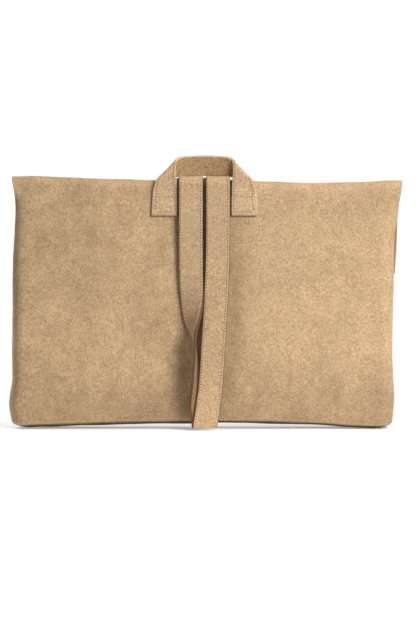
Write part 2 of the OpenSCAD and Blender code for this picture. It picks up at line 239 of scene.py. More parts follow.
def node_material(name, roughness, sheen=0.0, metallic=0.0):
    """A Principled material, with its constants on the shader's own sockets. Returns it, its node tree
    and the shader."""
    material = bpy.data.materials.new(name)
    material.use_nodes = True
    tree = material.node_tree
    shader = tree.nodes["Principled BSDF"]
    shader.inputs["Roughness"].default_value = roughness
    shader.inputs["Metallic"].default_value = metallic
    shader.inputs["Sheen Weight"].default_value = sheen
    shader.inputs["Sheen Roughness"].default_value = 0.45
    shader.inputs["Specular IOR Level"].default_value = 0.5 if metallic else 0.12
    return material, tree, shader


def noise_node(tree, size, detail=3.0, stretch=(1, 1, 1), roughness=0.5):
    """Noise with features of about a size in millimetres, in the object's own coordinates."""
    place = tree.nodes.new("ShaderNodeTexCoord")
    mapping = tree.nodes.new("ShaderNodeMapping")
    mapping.inputs["Scale"].default_value = stretch
    texture = tree.nodes.new("ShaderNodeTexNoise")
    texture.inputs["Scale"].default_value = 1 / (size * MM)
    texture.inputs["Detail"].default_value = detail
    texture.inputs["Roughness"].default_value = roughness
    tree.links.new(place.outputs["Object"], mapping.inputs["Vector"])
    tree.links.new(mapping.outputs["Vector"], texture.inputs["Vector"])
    return texture.outputs["Fac"]


def ramp(tree, value, stops):
    """A colour ramp over (position, colour) stops, in linear colour."""
    node = tree.nodes.new("ShaderNodeValToRGB")
    elements = node.color_ramp.elements
    while len(elements) < len(stops):
        elements.new(0.5)
    for element, (position, colour) in zip(elements, stops):
        element.position = position
        element.color = (*colour, 1)
    tree.links.new(value, node.inputs["Fac"])
    return node.outputs["Color"]


def mixed(tree, kind, factor, a, b):
    """Mix of two colours. The factor is a number or an output."""
    node = tree.nodes.new("ShaderNodeMix")
    node.data_type = "RGBA"
    node.blend_type = kind
    for socket, value in ((node.inputs["Factor"], factor), (node.inputs[6], a), (node.inputs[7], b)):
        if isinstance(value, bpy.types.NodeSocket):
            tree.links.new(value, socket)
        else:
            socket.default_value = value
    return node.outputs[2]


def maths(tree, operation, *values):
    """A maths node, fed with sockets or numbers."""
    node = tree.nodes.new("ShaderNodeMath")
    node.operation = operation
    for socket, value in zip(node.inputs, values):
        if isinstance(value, bpy.types.NodeSocket):
            tree.links.new(value, socket)
        else:
            socket.default_value = value
    return node.outputs[0]


def bumped(tree, shader, height, distance, strength=1.0):
    """Bump from a height socket, its distance in millimetres."""
    node = tree.nodes.new("ShaderNodeBump")
    node.inputs["Distance"].default_value = distance * MM
    node.inputs["Strength"].default_value = strength
    tree.links.new(height, node.inputs["Height"])
    tree.links.new(node.outputs["Normal"], shader.inputs["Normal"])


def linear(red, green, blue):
    """Linear colour from display values of 0 to 255."""
    return tuple(
        (c / 255 / 12.92) if c <= 10 else ((c / 255 + 0.055) / 1.055) ** 2.4
        for c in (red, green, blue))


def shade(colour, factor):
    """A colour made lighter or darker."""
    return tuple(c * factor for c in colour)


def suede(name, colour, patch=0.14, grain=0.44, blotch=0.3, hair=1.0):
    """Brushed suede: broad worn patches, a mottled nap, reddish blotches and a fine fibre grain.
    patch and grain are how far the patches and the grain go from the base colour."""
    material, tree, shader = node_material(name, roughness=0.95, sheen=0.18)
    shader.inputs["Sheen Tint"].default_value = (1.0, 0.9, 0.78, 1)
    broad = noise_node(tree, 38, detail=3, roughness=0.6)
    base = ramp(tree, broad, [
        (0.3, shade(colour, 1 - patch)), (0.5, colour), (0.72, shade(colour, 1 + patch))])
    mottle = noise_node(tree, 7.5, detail=4, roughness=0.65)
    base = mixed(tree, "MULTIPLY", 1.0, base, ramp(tree, mottle, [
        (0.3, (1 - patch * 0.9, 1 - patch, 1 - patch * 1.1)), (0.5, (1, 1, 1)),
        (0.7, (1 + patch * 0.7,) * 3)]))
    red = noise_node(tree, 24, detail=3, roughness=0.7)
    amount = maths(tree, "MULTIPLY", ramp(tree, red, [(0.56, (0, 0, 0)), (0.74, (1, 1, 1))]), blotch)
    base = mixed(tree, "MULTIPLY", amount, base, (0.86, 0.74, 0.66, 1))
    # Painted light: this attribute lightens the suede as a painted highlight along the base's rolled edge
    # and on the right-hand half, where the light falls.
    painted_light = tree.nodes.new("ShaderNodeAttribute")
    painted_light.attribute_name = "painted_light"
    base = mixed(tree, "MIX", painted_light.outputs["Fac"], base, (*shade(colour, 1.35), 1))
    # Painted shade: this attribute darkens the suede almost to black under the base and beside the hanging
    # loop, where shade falls; it also carries a brown smudge.
    painted_shade_and_smudge = tree.nodes.new("ShaderNodeAttribute")
    painted_shade_and_smudge.attribute_name = "painted_shade_and_smudge"
    base = mixed(tree, "MIX", painted_shade_and_smudge.outputs["Fac"], base, (*shade(colour, 0.1), 1))
    fibre = noise_node(tree, 1.5 * hair, detail=4, roughness=0.85)
    nap = noise_node(tree, 1.0 * hair, detail=2, stretch=(1, 1, 0.6), roughness=0.7)
    both = maths(tree, "ADD", maths(tree, "MULTIPLY", fibre, 0.6), maths(tree, "MULTIPLY", nap, 0.4))
    base = mixed(tree, "MULTIPLY", 1.0, base, ramp(tree, both, [
        (0.34, (1 - grain, 1 - grain * 1.06, 1 - grain * 1.14)), (0.5, (1, 1, 1)),
        (0.66, (1 + grain, 1 + grain * 0.97, 1 + grain * 0.92))]))
    tree.links.new(base, shader.inputs["Base Color"])
    bumped(tree, shader, both, 0.35, strength=0.5)
    return material


def cut_edge(name, colour):
    """The pale raw edge of cut suede, with loose fibres."""
    material, tree, shader = node_material(name, roughness=0.95, sheen=0.25)
    fibre = noise_node(tree, 0.9, detail=4, roughness=0.8)
    shades = [(0.32, shade(colour, 0.66)), (0.55, colour), (0.75, shade(colour, 1.12))]
    tree.links.new(ramp(tree, fibre, shades), shader.inputs["Base Color"])
    bumped(tree, shader, fibre, 0.3)
    return material


def woven(name, colour, pitch=0.55):
    """Plain-woven lining cloth."""
    material, tree, shader = node_material(name, roughness=0.8, sheen=0.12)
    place = tree.nodes.new("ShaderNodeTexCoord")
    threads = []
    for axis, turn in (("X", 0.0), ("Z", 0.0)):
        wave = tree.nodes.new("ShaderNodeTexWave")
        wave.bands_direction = axis
        wave.inputs["Scale"].default_value = 1 / (pitch * MM) / 3.18
        wave.inputs["Distortion"].default_value = 0.6
        wave.inputs["Detail Scale"].default_value = 2.0
        tree.links.new(place.outputs["Object"], wave.inputs["Vector"])
        threads.append(wave.outputs["Fac"])
    weave = maths(tree, "MULTIPLY", threads[0], threads[1])
    cloudy = noise_node(tree, 18, detail=3)
    base = ramp(tree, weave, [(0.0, shade(colour, 0.62)), (1.0, shade(colour, 1.12))])
    base = mixed(tree, "MULTIPLY", 1.0, base, ramp(tree, cloudy, [(0.35, (0.9,) * 3), (0.65, (1.05,) * 3)]))
    tree.links.new(base, shader.inputs["Base Color"])
    bumped(tree, shader, weave, 0.2, strength=0.6)
    return material


def thread_material(name, colour):
    """Waxed sewing thread with its twist."""
    material, tree, shader = node_material(name, roughness=0.6, sheen=0.2)
    twist = noise_node(tree, 0.5, detail=2, stretch=(1, 1, 0.6))
    tree.links.new(ramp(tree, twist, [(0.35, shade(colour, 0.75)), (0.65, shade(colour, 1.1))]),
                   shader.inputs["Base Color"])
    bumped(tree, shader, twist, 0.08)
    return material


def hole_shade_material(name, colour):
    """The inside of a needle hole, coloured dark as painted shade."""
    material, tree, shader = node_material(name, roughness=1.0)
    fibre = noise_node(tree, 0.4, detail=2)
    shades = [(0.3, shade(colour, 0.6)), (0.7, colour)]
    tree.links.new(ramp(tree, fibre, shades), shader.inputs["Base Color"])
    return material


def metal(name, colour, roughness):
    """Satin plated metal with fine handling marks."""
    material, tree, shader = node_material(name, roughness=roughness, metallic=1.0)
    marks = noise_node(tree, 1.6, detail=4, stretch=(1, 1, 5))
    shades = [(0.3, shade(colour, 0.86)), (0.7, colour)]
    tree.links.new(ramp(tree, marks, shades), shader.inputs["Base Color"])
    tree.links.new(ramp(tree, marks, [(0.3, (roughness * 0.8,) * 3), (0.7, (roughness * 1.3,) * 3)]),
                   shader.inputs["Roughness"])
    bumped(tree, shader, marks, 0.01)
    return material


def mark(piece, name, amounts):
    """Writes an amount from 0 to 1 for each vertex under a name, where the suede materials read it: how much
    painted light or painted shade the vertex takes.
    """
    attribute = piece.data.attributes.new(name, "FLOAT", "POINT")
    attribute.data.foreach_set("value", np.asarray(amounts, np.float32))


CAMEL = linear(196, 165, 128)
STRAP_CAMEL = linear(197, 166, 130)
panel_suede = suede("camel_panel_suede", CAMEL)
strap_suede = suede("camel_strap_suede", STRAP_CAMEL, patch=0.06, grain=0.5, blotch=0.12, hair=0.95)
keeper_suede = suede("camel_keeper_suede", linear(208, 177, 140), patch=0.06, grain=0.52, blotch=0.12)
keeper_back = suede("camel_keeper_back", linear(190, 157, 119), patch=0.08, grain=0.55, blotch=0.3)
# The straps' back face, darker than their front: painted shade for the hollow behind and between the straps.
strap_back_shade = suede(
    "camel_strap_back_painted_shade", linear(152, 120, 86), patch=0.08, grain=0.4, blotch=0.2, hair=0.9)
panel_back = suede("panel_back_suede", linear(170, 137, 101), patch=0.08, grain=0.25, blotch=0.2)
card_suede = suede("camel_card_slot_suede", linear(164, 128, 92), patch=0.07, grain=0.12, blotch=0.2)
pale_edge = cut_edge("keeper_cut_edge", linear(224, 204, 174))
# The straps' cut edges, dark brown: painted shade along the straps' edges and in the gap between them.
strap_edge_shade = cut_edge("strap_cut_edge_painted_shade", linear(118, 88, 60))
soft_edge = cut_edge("panel_cut_edge", linear(170, 138, 102))
lining_cloth = woven("camel_lining", linear(122, 98, 74))
zip_cloth = woven("zip_tape_cloth", linear(96, 76, 57), pitch=0.4)
camel_thread = thread_material("camel_thread", linear(226, 201, 165))
needle_hole_shade = hole_shade_material("needle_hole_shade", linear(66, 42, 26))
nickel = metal("satin_nickel", (0.66, 0.65, 0.62), 0.3)
bright_nickel = metal("bright_nickel", (0.74, 0.73, 0.7), 0.18)


# ---- The bag's own surface ----


def half_depth(z):
    """From the middle of the bag to its outer face at a height, on the middle section."""
    return TOP_HALF_DEPTH + LEAN * (fold_axis[2] - np.asarray(z, float))


LEFT_SIDE = [(0, -154), (1.5, -157), (4, -158.9), (8, -159.8), (17, -161.2), (24, -160.8), (35, -158.9),
             (60, -158.6), (100, -158), (140, -157.5), (160, -156.2), (178, -155.4), (190, -155.8),
             (200, -157.6), (212, -158.4)]
RIGHT_SIDE = [(0, 151), (1.5, 153.4), (4, 154.8), (8, 155.2), (15, 156), (24, 156.5), (36, 155.8), (50, 155),
              (95, 155), (125, 155.7), (150, 155.9), (160, 156.4), (168, 158.1), (176, 159.2), (187, 160),
              (194, 161), (200, 161.8), (212, 162)]
LEFT_FLAP = [(126, -154.4), (145, -155), (165, -155), (180, -154.8), (190, -155.4), (200, -157.6)]
RIGHT_FLAP = [(126, 157.2), (145, 158.3), (165, 159), (176, 159), (185, 159.5), (195, 161), (203, 162)]
CREST_RISE = [(-160, 4.4), (-130, 3.4), (-100, 2.2), (-70, 1.5), (-45, 1.2), (-33, 1.6), (-26, 2.6),
              (-21, 2.9), (-16, 2.2), (-10, 1.9), (-5, 2), (0, 3.3), (5, 2), (10, 1.9), (26, 1.1),
              (45, 0.2), (70, -1.3), (110, -1.5), (135, -0.8), (150, 0), (161, 1)]
BASE_RISE = [(-161, 1.4), (-150, 2.4), (-125, 3.2), (-100, 4.2), (-70, 5.1), (-30, 5.8), (50, 5.8),
             (75, 5.0), (100, 3.8), (118, 2.6), (135, 1.9), (148, 1.8), (158, 1.4)]
BASE_SAG = 1.9                            # the base's middle seam hangs this far below its front and rear
SIDE_ROLL = 9.0                           # how far from the seam a panel is rolled towards it
SEAM = 0.35                               # half the gap between the panels at the side seam


def side_steps(width):
    """Places across a width from 0 to 1, closer together near both sides."""
    near = np.array([0, 0.35, 0.9, 1.7, 2.7, 4, 5.6, 7.5, 9.7, 12.2, 15]) / width
    middle = np.linspace(near[-1], 1 - near[-1], 104)[1:-1]
    return np.concatenate([near, middle, 1 - near[::-1]])


def bag_grid(y0, z0, turn, inset=0.0, relief=1.0):
    """Points of the bag's outer face for rows through (y0, z0) on its middle section. turn is 0 on the
    pouch and 1 on the flap. inset moves the sides in, and relief scales the soft dents and swells."""
    y0, z0, turn = (np.asarray(v, float)[:, None] for v in (y0, z0, turn))
    left = (1 - turn) * through(LEFT_SIDE, z0) + turn * through(LEFT_FLAP, z0) + inset
    right = (1 - turn) * through(RIGHT_SIDE, z0) + turn * through(RIGHT_FLAP, z0) - inset
    share = side_steps(314)[None, :]
    x = left + (right - left) * share
    from_side = np.minimum(x - left, right - x) + inset
    rolled = np.sqrt(1 - (1 - np.clip(from_side / SIDE_ROLL, 0, 1)) ** 2)
    is_open = np.maximum(smooth((z0 - 177) / 14), turn > 0)
    y = y0 * (rolled + (1 - rolled) * is_open)
    y = np.where(np.abs(y) < SEAM, np.sign(y0) * SEAM, y)
    low_rise = smooth((z0 - 150) / 45)
    rise = through(CREST_RISE, x) * np.where(turn >= 1, smooth((z0 - 126) / 69), low_rise)
    near_seam = np.clip(1 - np.abs(y0) / half_depth(BASE_ROUND), 0, 1)
    sag = BASE_SAG * near_seam * smooth(from_side / 30) * (z0 < 1)
    lift = (through(BASE_RISE, x) - sag) * (1 - smooth(z0 / 60))
    z = z0 + rise + lift + 0 * x
    grid = np.stack([x, y, z], axis=2)
    if relief:
        seed = 3.0 + 4.0 * float(np.sign(y0[len(y0) // 2, 0]))
        swell = 0.62 * (1 + soft_noise(x, z, 62, seed)) + 0.26 * (1 + soft_noise(x, z, 23, seed + 9))
        pucker = 0.3 * (1 + np.sin(z / 3.4 + 2.2 * soft_noise(x * 0.3, z, 30, seed + 20)))
        pucker = pucker * np.exp(-(((from_side - 8) / 6.5) ** 2)) * (1 - smooth((z0 - 165) / 12))
        middle = 1 - smooth((np.abs(x) - 46) / 16)
        calm = 1 - middle * np.where(turn > 0, 1, smooth((z0 - 148) / 22))
        height = (np.clip(swell, 0, 2.4) * smooth(from_side / 14) + pucker) * calm * relief
        grid = grid + grid_normals(grid) * height[..., None]
    grid[..., 2] = np.maximum(grid[..., 2], 0)
    return grid


def arc(centre, radius, start, stop, count):
    """Points (y, z) round a centre, between two angles in degrees from +Y towards +Z."""
    angles = np.radians(np.linspace(start, stop, count))
    return [(centre[0] + radius * math.cos(a), centre[1] + radius * math.sin(a)) for a in angles]


def panel_rows(sign, top, step=2.6):
    """(y, z) rows from the middle of the base, round its edge and up a panel. sign is -1 for the front."""
    turn_y = float(half_depth(BASE_ROLL)) - BASE_ROLL
    rows = [(y, 0.0) for y in np.linspace(SEAM, turn_y, 5)[:-1]]
    rows += arc((turn_y, BASE_ROLL), BASE_ROLL, -90, 0, 9)
    heights = np.linspace(BASE_ROLL, top, int((top - BASE_ROLL) / step) + 1)[1:]
    rows += [(float(half_depth(z)), z) for z in heights]
    return [(sign * y, z) for y, z in rows]


def fold_rows(count=17):
    """(y, z, turn) rows over the top fold, after the front panel's last row."""
    rows = arc((fold_axis[1], fold_axis[2]), FOLD_RADIUS, 180, 0, count)[1:]
    return [(y, z, (k + 1) / len(rows)) for k, (y, z) in enumerate(rows)]


def flap_rows(end, step=2.6):
    """(y, z, turn) rows down the flap, after the fold's last row."""
    heights = np.linspace(fold_axis[2], end, int((fold_axis[2] - end) / step) + 1)[1:]
    return [(fold_axis[1] + FOLD_RADIUS + LEAN * (fold_axis[2] - z), z, 1.0) for z in heights]


def inside(grid, depth):
    """The grid moved inwards."""
    return grid - grid_normals(grid) * depth


def flip(grid):
    """The grid with its columns the other way round, which turns its outer side round."""
    return grid[:, ::-1]


# ---- Stitches ----

STITCH_PITCH = 2.4
STITCH_LENGTH = 1.75
THREAD_RADIUS = 0.34
HOLE_RADIUS = 0.42


def traced(grid, corners):
    """Points and normals along straight runs between (row, column) places on a grid."""
    normal = grid_normals(grid)
    points, normals = [], []
    for start, stop in zip(corners, corners[1:]):
        places = np.linspace(start, stop, 200)
        low = np.minimum(places.astype(int), [grid.shape[0] - 2, grid.shape[1] - 2])
        part = places - low
        for values, out in ((grid, points), (normal, normals)):
            mixed_rows = [
                values[low[:, 0], low[:, 1] + k] * (1 - part[:, :1])
                + values[low[:, 0] + 1, low[:, 1] + k] * part[:, :1]
                for k in (0, 1)
            ]
            out.append(mixed_rows[0] * (1 - part[:, 1:]) + mixed_rows[1] * part[:, 1:])
    return np.concatenate(points), unit(np.concatenate(normals))


def stitching(name, lines, pitch=STITCH_PITCH):
    """Stitches with a needle hole between each two, along lines of (points, normals). Each hole is a shallow
    cap coloured dark as painted shade.
    """
    along = np.array([-0.5, -0.4, -0.18, 0.18, 0.4, 0.5]) * STITCH_LENGTH * pitch / STITCH_PITCH
    ring_size = np.array([0.4, 0.85, 1, 1, 0.85, 0.4]) * THREAD_RADIUS
    ring_height = np.array([-0.5, 0.3, 0.6, 0.6, 0.3, -0.5]) * THREAD_RADIUS
    angles = np.radians(np.arange(0, 360, 60))
    vertices, faces, slots = [], [], []

    def add(points, new_faces, slot):
        faces.extend([tuple(len(vertices) + k for k in face) for face in new_faces])
        slots.extend([slot] * len(new_faces))
        vertices.extend(points)

    rings = [tuple(range(5, -1, -1)), tuple(range(30, 36))]
    walls = [
        (s * 6 + k, s * 6 + (k + 1) % 6, s * 6 + 6 + (k + 1) % 6, s * 6 + 6 + k)
        for s in range(5) for k in range(6)]
    cap = [(k, (k + 1) % 6, 6) for k in range(6)] + [((k + 1) % 6, k, 7) for k in range(6)]
    for points, normals in lines:
        length = np.concatenate([[0], np.cumsum(np.linalg.norm(np.diff(points, axis=0), axis=1))])
        count = max(1, int(round(length[-1] / pitch)))

        def at(distance, values):
            return np.stack([np.interp(distance, length, values[:, k]) for k in range(3)], axis=-1)

        for k in range(count):
            middle = (k + 0.5) * length[-1] / count
            where = at(middle + along, points)
            up = unit(at(middle, normals))
            forward = unit(where[-1] - where[0])
            side = unit(np.cross(forward, up))
            rim = [
                where[s] + up * ring_height[s] + ring_size[s] * (side * math.cos(a) + up * math.sin(a))
                for s in range(6) for a in angles
            ]
            add(rim, rings + walls, 0)
            if k < count - 1:
                hole = (k + 1) * length[-1] / count
                centre, up = at(hole, points), unit(at(hole, normals))
                rim = [centre + HOLE_RADIUS * (side * math.cos(a) + forward * math.sin(a)) for a in angles]
                add(rim + [centre + up * 0.05, centre - up * 0.3], cap, 1)
    return new_object(name, np.array(vertices), faces, [camel_thread, needle_hole_shade], slots)


# ---- Straps ----

STRAP_GROOVE = 0.3                        # depth of the line between a strap's two layers
# A strap's face, its back and its edge; the back and the edge are darkened as painted shade.
STRAP_FINISH = [strap_suede, strap_back_shade, strap_edge_shade]


def ribbon_grid(middle, width_directions, width, thickness, columns=13):
    """The outer face of a strap along a middle line, and across its width."""
    tangent = unit(np.gradient(middle, axis=0))
    across = np.asarray(width_directions, float)
    across = unit(across - tangent * np.sum(across * tangent, axis=1, keepdims=True))
    reach = width / 2 - thickness / 2 * RIM_REACH
    steps = np.linspace(reach, -reach, columns)
    grid = middle[:, None, :] + across[:, None, :] * steps[None, :, None]
    return grid + grid_normals(grid) * (thickness / 2)


# ---- The bag: front, fold and flap in one piece, the rear, and the linings ----


def path_length(rows):
    """The length of a path of (y, z) rows."""
    points = np.array([row[:2] for row in rows])
    return float(np.sum(np.linalg.norm(np.diff(points, axis=0), axis=1)))


front_rows = panel_rows(-1, fold_axis[2])
outer_rows = [(*row, 0.0) for row in front_rows] + fold_rows() + flap_rows(FLAP_END + 0.6)
outer_grid = bag_grid(*zip(*outer_rows))
outer_suede = sheet_object("outer_suede", outer_grid, SUEDE, [panel_suede, panel_back, soft_edge])
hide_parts("front_panel", "top_fold", "flap_shell")
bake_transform(outer_suede)

# Painted shadow of the hanging wrist loop on the front beside the straps; the higher spot on the right is
# also a brown smudge.
LOOP_SHADOWS_AND_SMUDGE = [(-20, 46, 9, 34), (17, 40, 10, 30), (25, 95, 8, 40)]   # x, z, half width and half height


def mark_painted_light_and_shade(piece):
    """Marks painted shade and painted light: painted shade under the base and darker towards the bottom,
    painted shadow where the loop hangs on the front and a brown smudge, a painted highlight along the base's
    edge and painted light on the right.
    """
    places = np.array([v.co for v in piece.data.vertices]) / MM
    height = places[:, 2] - through(BASE_RISE, places[:, 0])
    # Painted shade: almost black on the underside of the base, where it is in shadow, and a little darker up
    # to 55 mm above the base.
    painted_shade_and_smudge = np.maximum(1 - smooth((height - 0.3) / 1.0), 0.36 * (1 - smooth(height / 55)))
    # Painted shadow of the loop, and the smudge, on the front only.
    for x, z, wide, high in LOOP_SHADOWS_AND_SMUDGE:
        away = ((places[:, 0] - x) / wide) ** 2 + ((places[:, 2] - z) / high) ** 2
        painted_shade_and_smudge = painted_shade_and_smudge + np.maximum(0, 0.24 * np.exp(-away) - 0.6 * painted_shade_and_smudge) * (places[:, 1] < 0)
    mark(piece, "painted_shade_and_smudge", painted_shade_and_smudge)
    # Painted light: the right-hand (+X) half lighter, as if lit from the right, fading out towards the
    # bottom and the top.
    right_side_light = 0.27 * smooth((places[:, 0] - 14) / 45) * smooth((places[:, 2] - 30) / 40)
    right_side_light = right_side_light * (1 - 0.7 * smooth((places[:, 2] - 172) / 14))
    # Together with a painted highlight in a thin line along the rolled edge of the base.
    mark(piece, "painted_light", np.maximum(0.6 * np.exp(-(((height - 2.0) / 0.6) ** 2)), right_side_light))


mark_painted_light_and_shade(outer_suede)

rear_rows = panel_rows(1, MOUTH - 0.5)
rear_grid = bag_grid(*zip(*[(*row, 0.0) for row in rear_rows]), relief=0.8)
rear_grid[..., 1] = np.maximum(rear_grid[..., 1], SEAM)
rear_suede = sheet_object("rear_suede", flip(rear_grid), SUEDE, [panel_suede, panel_back, soft_edge])
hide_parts("rear_panel")
mark_painted_light_and_shade(rear_suede)
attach(rear_suede, "bag")

FLAP_LINING_DEPTH = SUEDE + 0.05
FRONT_LINING_DEPTH = 3.0
REAR_LINING_DEPTH = 2.1
lined_rows = [row for row in outer_rows if row[1] > 189.5 or row[2] > 0]
lined_rows = [row for row in lined_rows if row[2] == 0 or row[1] > FLAP_END + 2]
flap_lining_grid = inside(bag_grid(*zip(*lined_rows), inset=2.0), FLAP_LINING_DEPTH)
flap_lining_cloth = sheet_object("flap_lining_cloth", flap_lining_grid, LINING, [lining_cloth] * 3)
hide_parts("flap_lining", "top_fold_lining")
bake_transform(flap_lining_cloth)

teeth_low, teeth_high = node_box("zip_teeth")
ZIP_HEIGHT = (teeth_low[2] + teeth_high[2]) / 2
ZIP_SLOT = 2.3                            # half the height of the lining's slot over the zip
slider_low = node_box("zip_slider")[0]

FRONT_LINING_TOP = 191
lining_rows = [row for row in front_rows if row[1] < FRONT_LINING_TOP]
slot_edges = (ZIP_HEIGHT - ZIP_SLOT, ZIP_HEIGHT + ZIP_SLOT)
nearest = [int(np.argmin([abs(row[1] - h) for row in lining_rows])) for h in slot_edges]
for row_number, height in zip(nearest, slot_edges):
    lining_rows[row_number] = (-float(half_depth(height)), height)
front_lining_grid = bag_grid(*zip(*[(*row, 0.0) for row in lining_rows]), inset=3.2, relief=0)
front_lining_grid = inside(front_lining_grid, FRONT_LINING_DEPTH)
slot_ends = (slider_low[0] - 1, teeth_high[0] + 1)
slot_row = front_lining_grid[nearest[0], :, 0]
slot_columns = [int(np.argmin(np.abs(slot_row - x))) for x in slot_ends]
front_lining_cloth = sheet_object(
    "front_lining_cloth", front_lining_grid, LINING, [lining_cloth] * 3,
    window=(nearest[0], nearest[1], slot_columns[0], slot_columns[1]))
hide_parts("front_lining")
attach(front_lining_cloth, "bag")

rear_lining_rows = [row for row in rear_rows if row[1] < MOUTH - 0.8]
rear_lining_grid = bag_grid(*zip(*[(*row, 0.0) for row in rear_lining_rows]), inset=2.4, relief=0)
rear_lining_grid = inside(flip(rear_lining_grid), REAR_LINING_DEPTH)
rear_lining_cloth = sheet_object("rear_lining_cloth", rear_lining_grid, LINING, [lining_cloth] * 3)
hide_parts("rear_lining")
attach(rear_lining_cloth, "bag")


# ---- Pockets inside ----


POCKET_CORNER = 7.0                       # radius of a pocket's lower corners


def with_round_corners(x, z, low, high):
    """A pocket's X values, drawn in at its two lower corners."""
    near_end = np.clip((POCKET_CORNER - (z - low[2])) / POCKET_CORNER, 0, 1)
    drawn_in = POCKET_CORNER / high[0] * (1 - np.sqrt(1 - near_end**2))
    return x * (1 - drawn_in * smooth((np.abs(x) - high[0] * 0.5) / (high[0] * 0.5)))


def pocket_sheet(name, node, material, thickness, depth_of):
    """A pocket's sheet in the place of a CAD node, with a slack middle and rounded lower corners."""
    low, high = node_box(node)
    xs = np.linspace(low[0], high[0], 64)
    zs = np.linspace(low[2], high[2], 26)
    x, z = np.meshgrid(xs, zs)
    x = with_round_corners(x, z, low, high)
    y = depth_of(z) + 0.08 * soft_noise(x, z, 20, 5)
    sheet = sheet_object(name, np.stack([x, y, z], axis=2), thickness, [material, material, soft_edge])
    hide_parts(node)
    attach(sheet, "bag")
    return sheet


def folded_pocket(name, node, slot, material, thickness, near, far):
    """A pocket of one sheet folded up at the bottom, its two walls near and far deep inside the suede."""
    low, high = node_box(node)
    radius = (far - near) / 2
    straight = np.linspace(high[2], low[2] + radius, 24)
    turn = np.linspace(0, math.pi, 7)[1:-1]
    heights = np.concatenate([straight, low[2] + radius * (1 - np.sin(turn)), straight[::-1]])
    depths = np.concatenate([0 * straight + near, near + radius * (1 - np.cos(turn)), 0 * straight + far])
    x, z = np.meshgrid(np.linspace(high[0], low[0], 64), heights)
    x = with_round_corners(x, z, low, high)
    middle = (near + far) / 2
    sewn = 1 - 0.42 * smooth((np.abs(x) - high[0] + 5) / 5)
    depth = middle + (depths[:, None] - middle) * sewn
    y = -half_depth(z) + SUEDE + depth + 0.08 * soft_noise(x, z, 20, 5)
    sheet = sheet_object(name, np.stack([x, y, z], axis=2), thickness, [material, material, material])
    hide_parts(node)
    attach(sheet, "bag")
    return sheet


CARD_SUEDE = 0.45                         # thickness of a card slot's suede
CARD_PITCH = 0.62                         # each card slot lies this much further in
for order, level in enumerate(("upper", "middle", "lower")):
    node = f"card_slot_{level}"
    slot_depth = REAR_LINING_DEPTH + LINING + 0.06 + CARD_SUEDE + CARD_PITCH * order
    pocket_sheet(
        f"{node}_suede", node, card_suede, CARD_SUEDE,
        lambda z, d=slot_depth: half_depth(z) - d)

ZIP_POCKET_CLOTH = 0.3                    # thickness of the zip pocket's cloth
ZIP_POCKET_DEPTHS = (0.2, 1.3)            # its two walls' outer faces, inside the front's suede
zip_pocket = folded_pocket(
    "zip_pocket_cloth", "zip_pocket_bag", "lining_cloth", lining_cloth, ZIP_POCKET_CLOTH, *ZIP_POCKET_DEPTHS)


# ---- The keeper ----

FOOT_FACE = STRAP / 2                     # from the panel's face to the middle of the strap on it


def on_front(x, z):
    """The strap's middle where it lies on the front panel."""
    return (x, -float(half_depth(z)) - FOOT_FACE, z)


KEEPER_INNER = [
    on_front(22.0, 174.9), on_front(21.8, 183), on_front(22.0, 191), (22.3, -6.45, 199.5), (22.9, -7.2, 207),
    (23.2, -8.4, 214.2), (22.6, -9.0, 218.8), (21.2, -8.7, 221.2), (19.4, -7.8, 222.4), (15.5, -6.6, 223),
    (8, -6.2, 223.4), (0, -6.2, 223.6)]
KEEPER_OUTER = [
    on_front(43.6, 174.9), on_front(43.2, 183), on_front(42.8, 191), (42.2, -6.45, 196.2),
    (41.2, -6.8, 199.4), (39.9, -7, 201.8), (38.6, -6.4, 203.3), (36.8, -4.8, 204.2),
    (32.6, -3.1, 205), (25, -1.4, 206),
    (12, 0, 206.9), (0, 0.4, 207.2)]


def keeper_edge(rows, count):
    """A whole edge of the keeper from its right-hand half, from the left foot over to the right foot."""
    half = through(list(enumerate(rows)), np.linspace(0, len(rows) - 1, count))
    mirrored = half * [-1, 1, 1]
    return np.concatenate([mirrored[:-1], half[::-1]])


keeper_inner = keeper_edge(KEEPER_INNER, 66)
keeper_outer = keeper_edge(KEEPER_OUTER, 66)
KEEPER_RIM = STRAP / 2 * RIM_REACH / 21   # the share of the band's width that its rounded edge takes
across = np.linspace(KEEPER_RIM, 1 - KEEPER_RIM, 17)[None, :, None]
keeper_grid = keeper_outer[:, None, :] * (1 - across) + keeper_inner[:, None, :] * across
keeper_grid = keeper_grid + grid_normals(keeper_grid) * STRAP / 2
keeper_strap = sheet_object(
    "keeper_strap", keeper_grid, STRAP, [keeper_suede, keeper_back, pale_edge], groove=STRAP_GROOVE)
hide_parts("keeper_foot_left", "keeper_foot_right", "keeper_arch_outer", "keeper_arch_lining")
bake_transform(keeper_strap)

rows_up = len(keeper_grid) - 1
foot_row = int(np.argmin(np.abs(keeper_grid[:len(keeper_grid) // 2, 8, 2] - 177.1)))
top_row = int(np.argmin(np.abs(keeper_grid[:len(keeper_grid) // 2, 8, 2] - 190.6)))
KEEPER_STITCHES = (2.2, 14.5)             # the grid's columns that the two long rows of stitches follow
keeper_lines = [
    traced(keeper_grid, [(foot_row, column), (rows_up - foot_row, column)]) for column in KEEPER_STITCHES]
for row in (foot_row, top_row):
    for end_row in (row, rows_up - row):
        keeper_lines.append(traced(keeper_grid, [(end_row, column) for column in KEEPER_STITCHES]))
keeper_stitching = stitching("keeper_stitching", keeper_lines)
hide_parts("keeper_foot_thread")
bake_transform(keeper_stitching)


# ---- The wrist loop and the strap's tails over the fold ----

STRAP_X = 11.1
BEND_RADIUS = 5.5                         # of the strap's middle where it turns down at the front
CREST = fold_axis[2] + FOLD_RADIUS + STRAP / 2
BEND_Y = loop_axis[1] + BEND_RADIUS
CREST_LIFT = 1.9                          # the visible crest stands this far above the CAD fold here


